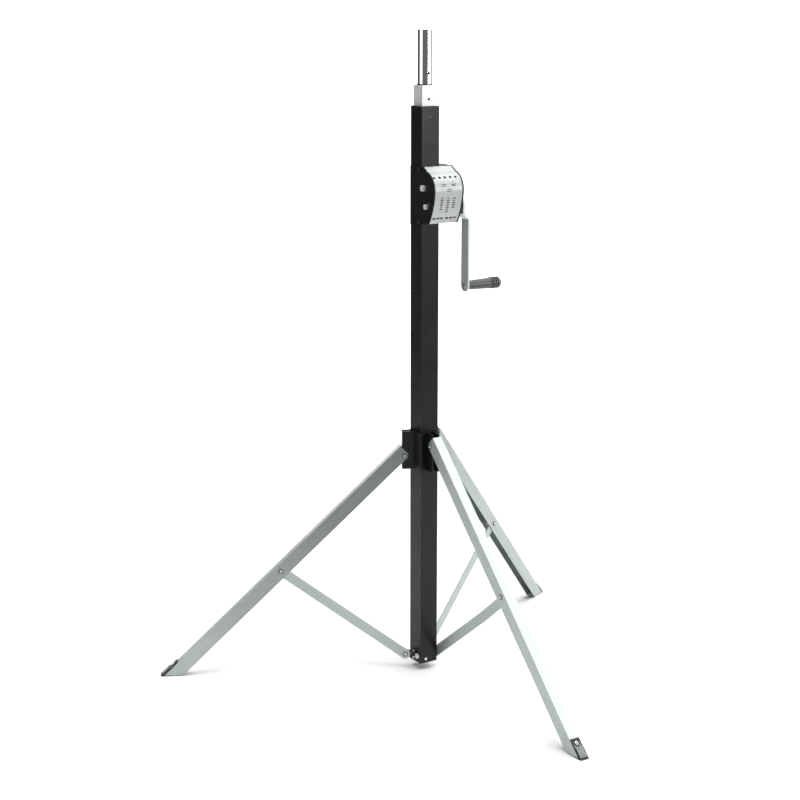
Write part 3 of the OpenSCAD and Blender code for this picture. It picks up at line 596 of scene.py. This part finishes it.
def foot_bolt(side):
    """The screw of a foot pad: a cup washer, a domed head with a socket and a nut inside the leg."""
    leg = LEG[side]
    low, high = extent(f"{side}_foot_screw", leg)
    cup = 2.6
    at = leg.o + leg.x * ((low + high) / 2).x + leg.z * (high.z - cup * MM)
    screw = Turned(f"{side}_foot_bolt", f"{side}_leg", "bolt_steel", f"{side}_foot_screw")
    screw.turn(at, leg.z, [(-9, 2.5), (0, 2.5)], BOLT)
    screw.turn(at, leg.z, [(0, 8.2), (2.0, 8.2), (cup, 7.6), (cup, 6.0), (0.6, 5.6)], SCREW_BLACK)
    screw.turn(at, leg.z, [(0.4, 5.2), (1.6, 5.2), (2.6, 4.2), (3.1, 2.2), (2.0, 1.9)], BOLT)
    # Painted shade: a black disc at the bottom of the socket.
    screw.turn(at, leg.z, [(2.0, 1.9), (2.1, 1.7)], SCREW_BLACK, 6)
    screw.turn(at, -leg.z, [(4.8, 4.2), (5.2, 4.6), (8.4, 4.6), (8.8, 4.0)], BOLT, 6)
    screw.done()


def pivot_pin(side):
    """The pin in a brace's lower eye. A rear head is nearly flat, as it folds into the leg."""
    eye = BRACE[side]
    out = HEAD[side] if side != "front" else -HEAD[side]
    low, high = extent(f"{side}_brace_pin", eye)
    top = (high.y if out.dot(eye.y) > 0 else -low.y) / MM
    pin = Turned(f"{side}_pivot_pin", f"{side}_brace", "bolt_steel", f"{side}_brace_pin")
    if side == "front":
        thick = 6
        pin.turn(eye.o, out, [(-top, BOLT_R), (top - 1, BOLT_R)], BOLT)
        pin.nut(eye.o + out * (top - thick) * MM, out, thick=thick)
    else:
        under = top - 0.7
        washer = [(under, 6.3), (top - 0.5, 6.5), (top - 0.2, 6.5), (top - 0.1, 6.2)]
        rivet = [(top - 0.2, 4.2), (top - 0.1, 4.2), (top, 3.9), (top, 2.0), (top - 0.05, 1.9)]
        pin.turn(eye.o, out, [(-top, BOLT_R), (under, BOLT_R)], BOLT)
        pin.turn(eye.o, out, washer, SCREW_BLACK)
        pin.turn(eye.o, out, rivet, BOLT)
        # Painted shade: a black disc at the bottom of the rivet's hollow.
        pin.turn(eye.o, out, [(top - 0.1, 1.9), (top - 0.02, 1.8)], SCREW_BLACK, 6)
    pin.done()


def front_cross_bolt():
    """The long bolt through the mast that carries the front brace."""
    low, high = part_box("front_brace_bolt")
    middle = (low + high) / 2
    nut_end = 7.5
    start = Vector((low.x + nut_end * MM, middle.y, middle.z))
    far = (low.x - high.x) / MM + nut_end
    washer = 1.5
    bolt = Turned("front_cross_bolt", "mast", "bolt_steel", "front_brace_bolt")
    bolt.turn(start, LEFT, [(far, BOLT_R), (0, BOLT_R)], BOLT)
    bolt.turn(start, LEFT, [(0, 9), (1.1, 9), (washer, 8.5)], SCREW_BLACK)
    bolt.nut(start + LEFT * washer * MM, LEFT, 7.5, 5.0)
    bolt.turn(start, LEFT, [(far, 6.5), (far + 0.5, 6.5)], SCREW_BLACK)
    bolt.done()


def cable_fall():
    """The cable in the mast, at one fixed length, though the real one shortens as the inner mast rises."""
    low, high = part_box("lift_cable_drop")
    middle = (low + high) / 2
    radius = 1.5
    fall = Turned("cable_fall", "mast", "cable_wire", "lift_cable_drop")
    foot = Vector((middle.x, middle.y, low.z))
    fall.turn(foot, UP, [(0, radius), ((high.z - low.z) / MM, radius)], ROPE, 16)
    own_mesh(fall.done())


for side in LEGS:
    bolt_set(side)
    foot_bolt(side)
    pivot_pin(side)
front_cross_bolt()
cable_fall()


# ---------------------------------------------------------------- spigot
def drilled(obj, at, axis, radius, length):
    """Cuts a round hole right through a finished piece."""
    bm = bmesh.new()
    place = Matrix.Translation(at) @ axis.to_track_quat("Z", "Y").to_matrix().to_4x4()
    bmesh.ops.create_cone(bm, cap_ends=True, segments=32, radius1=radius * MM, radius2=radius * MM,
                          depth=length * MM, matrix=place)
    mesh = bpy.data.meshes.new("drill")
    bm.to_mesh(mesh)
    bm.free()
    drill = bpy.data.objects.new("drill", mesh)
    bpy.context.scene.collection.objects.link(drill)
    cut = obj.modifiers.new("hole", "BOOLEAN")
    cut.operation = "DIFFERENCE"
    cut.solver = "EXACT"
    cut.object = drill
    bpy.context.view_layer.update()
    result = bpy.data.meshes.new_from_object(obj.evaluated_get(bpy.context.evaluated_depsgraph_get()))
    obj.modifiers.remove(cut)
    obj.data = result
    bpy.data.objects.remove(drill)


def spigot():
    """The chromed sleeve, with a support ring inside each end of its long wall, and its dark rim."""
    low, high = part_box("spigot_tube")
    foot = Vector(((low.x + high.x) / 2, (low.y + high.y) / 2, low.z))
    outer = (high.x - low.x) / 2 / MM
    tall = (high.z - low.z) / MM
    bore = outer - 2.5
    wall = [(0, bore), (0, outer - 0.8), (0.8, outer), (1.2, outer), (tall - 1.4, outer), (tall - 1.0, outer),
            (tall - 0.3, outer - 0.3), (tall, outer - 1.0), (tall, outer - 1.7), (tall - 0.8, bore)]
    sleeve = Turned("spigot_sleeve", "inner_mast", "spigot_chrome", "spigot_tube")
    sleeve.wall(foot, UP, wall, CHROME)
    hole = Vector(MOUNTS["spigot_cross_hole"]["pos_m"])
    drilled(sleeve.done(), hole, REAR, radius=4.0, length=60)
    ring = [(-0.2, outer - 1.0), (-0.2, outer + 1.0), (0.6, outer + 1.4), (2.2, outer + 1.1),
            (2.8, outer - 0.2)]
    rim = Turned("spigot_rim", "inner_mast", "black_screw")
    rim.wall(foot, UP, ring, SCREW_BLACK)
    rim.done()


spigot()

# ---------------------------------------------------------------- print on the winch cover
# Plain bars stand for the printed lines. Columns: middle and widths of the rows, in millimetres
PRINT_COLUMNS = ((22, (6, 9, 7, 9, 5, 8)), (40, (5, 8, 9, 7, 9, 6, 8)), (57, (8, 6, 9, 8, 9)))
PRINT_TOP = 64
PRINT_STEP = 5.6
TITLE = ((9, 9), (20.5, 8), (31, 8), (46, 9), (58, 9), (69, 7))
TITLE_UP = 13
COVER_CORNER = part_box("winch_cover")[0]


def on_cover(across, up, lift):
    """A point just off the cover: across and up in millimetres from its lower left corner."""
    start = COVER_CORNER + Vector((across * MM, -0.05, up * MM))
    _, at, normal, _ = NODES["winch_cover"].ray_cast(start, REAR)
    return at + normal * lift * MM


def bar(bm, across, up, width, height, rows=4):
    """A printed bar, following the cover's curve."""
    under, over = [
        [[bm.verts.new(on_cover(across + side * width / 2, up + height * (i / rows - 0.5), lift))
          for side in (-1, 1)] for i in range(rows + 1)]
        for lift in (-0.05, 0.12)
    ]
    for i in range(rows):
        bm.faces.new([over[i][0], over[i][1], over[i + 1][1], over[i + 1][0]])
        bm.faces.new([under[i][1], under[i][0], under[i + 1][0], under[i + 1][1]])
        for s, t in ((0, 1), (1, 0)):
            bm.faces.new([over[i + t][s], under[i + t][s], under[i + s][s], over[i + s][s]])
    for i, s in ((0, 1), (rows, 0)):
        bm.faces.new([over[i][s], over[i][1 - s], under[i][1 - s], under[i][s]])


def cover_print():
    bm = bmesh.new()
    for column, widths in PRINT_COLUMNS:
        for row, width in enumerate(widths):
            bar(bm, column, PRINT_TOP - row * PRINT_STEP - (len(widths) % 3), width * 0.9, 2.8)
    for across, width in TITLE:
        bar(bm, across, TITLE_UP, width, 4.4)
    for across in (26, 55):
        for up, width, height in ((103, 1.2, 4), (96, 15, 1.6), (92.5, 10, 1.6)):
            bar(bm, across, up, width, height)
    for up in (80, 85):
        bar(bm, 41, up, 12, 1.6)
    bmesh.ops.recalc_face_normals(bm, faces=bm.faces)
    mesh = bpy.data.meshes.new("cover_print")
    bm.to_mesh(mesh)
    bm.free()
    obj = bpy.data.objects.new("cover_print", mesh)
    bpy.context.scene.collection.objects.link(obj)
    paint(obj, INK)
    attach(obj, "mast")


cover_print()


# ---------------------------------------------------------------- studio
def studio_floor(radius=2.4, sides=96):
    """A pale round floor under the stand."""
    turns = (2 * math.pi * i / sides for i in range(sides))
    ring = [(radius * math.cos(t), radius * math.sin(t), 0.0) for t in turns]
    mesh = bpy.data.meshes.new("studio_floor")
    mesh.from_pydata(ring, [], [tuple(range(sides))])
    floor = bpy.data.objects.new("studio_floor", mesh)
    bpy.context.scene.collection.objects.link(floor)
    n = Surface("studio_floor")
    grain = n.noise(n.coords(PLAIN), 3, 2.0, 0.5)
    paint(floor, n.done(n.mix(grain, (0.86, 0.86, 0.86), (0.88, 0.88, 0.88)), 0.75))


def studio_world():
    """A white wall behind the object, a softbox overhead and a dim room on the other sides."""
    world = bpy.data.worlds.new("studio")
    world.use_nodes = True
    n = Tree(world.node_tree)
    direction = n.add("ShaderNodeTexCoord").outputs["Generated"]

    def towards(axis, lo, hi, to_lo, to_hi):
        return n.span(n.dot(direction, axis), lo, hi, to_lo, to_hi, smooth=True)

    wall = towards(VIEW_LEVEL, 0.6, 0.9, 0.17, 1.8)
    overhead = towards((0.44, -0.2, 0.875), 0.72, 0.92, 0.0, 2.6)
    # Two reflector cards at eye level, which the chromed spigot shows as its bright bands
    level = n.math("MULTIPLY", towards(UP, -0.18, -0.12, 0, 1), towards(UP, 0.05, 0.11, 1, 0))
    left_card = n.math("MULTIPLY", level, towards((-0.999, 0.039, 0), 0.93, 0.955, 0, 3.0))
    right_card = n.math("MULTIPLY", level, towards((0.837, -0.547, 0), 0.76, 0.82, 0, 1.7))
    cards = n.math("MAXIMUM", left_card, right_card)
    glow = n.math("MAXIMUM", n.math("MAXIMUM", wall, overhead), cards)
    # Dark flags just outside the picture on both sides, which give the spigot its dark outline
    for turn in (-39, 39):
        flag = Matrix.Rotation(math.radians(turn), 3, "Z") @ VIEW_LEVEL.normalized()
        shade = n.math("MULTIPLY", level, towards(flag, 0.9135, 0.9397, 0, 0.85))
        glow = n.math("MULTIPLY", glow, n.math("SUBTRACT", 1.0, shade))
    background = world.node_tree.nodes["Background"]
    background.inputs["Color"].default_value = (1, 1, 1, 1)
    n.link(glow, background.inputs["Strength"])
    bpy.context.scene.world = world


def lamp(name, kind, at, aim, **settings):
    """A light that shines along a direction."""
    data = bpy.data.lights.new(name, kind)
    for key, value in settings.items():
        setattr(data, key, value)
    obj = bpy.data.objects.new(name, data)
    obj.location = at
    obj.rotation_euler = Vector(aim).to_track_quat("-Z", "Y").to_euler()
    bpy.context.scene.collection.objects.link(obj)


def camera():
    """The photograph's camera."""
    data = bpy.data.cameras.new("camera")
    data.sensor_width = 36
    data.lens = CAMERA_LENS
    obj = bpy.data.objects.new("camera", data)
    obj.location = CAMERA_AT
    obj.rotation_euler = VIEW_DIR.to_track_quat("-Z", "Y").to_euler()
    bpy.context.scene.collection.objects.link(obj)
    bpy.context.scene.camera = obj
    bpy.context.scene.view_settings.view_transform = "Standard"


STRIP_AT = Vector((2.2, -3.4, 1.7))
STRIP_AIM = Vector((0, 0, 1.3)) - STRIP_AT

studio_floor()
studio_world()
lamp("sun", "SUN", (0, 0, 0), (0.12, 0.1, -1), energy=1.6, angle=math.radians(40))
lamp("strip", "AREA", STRIP_AT, STRIP_AIM, shape="DISK", size=0.8, energy=32)
camera()
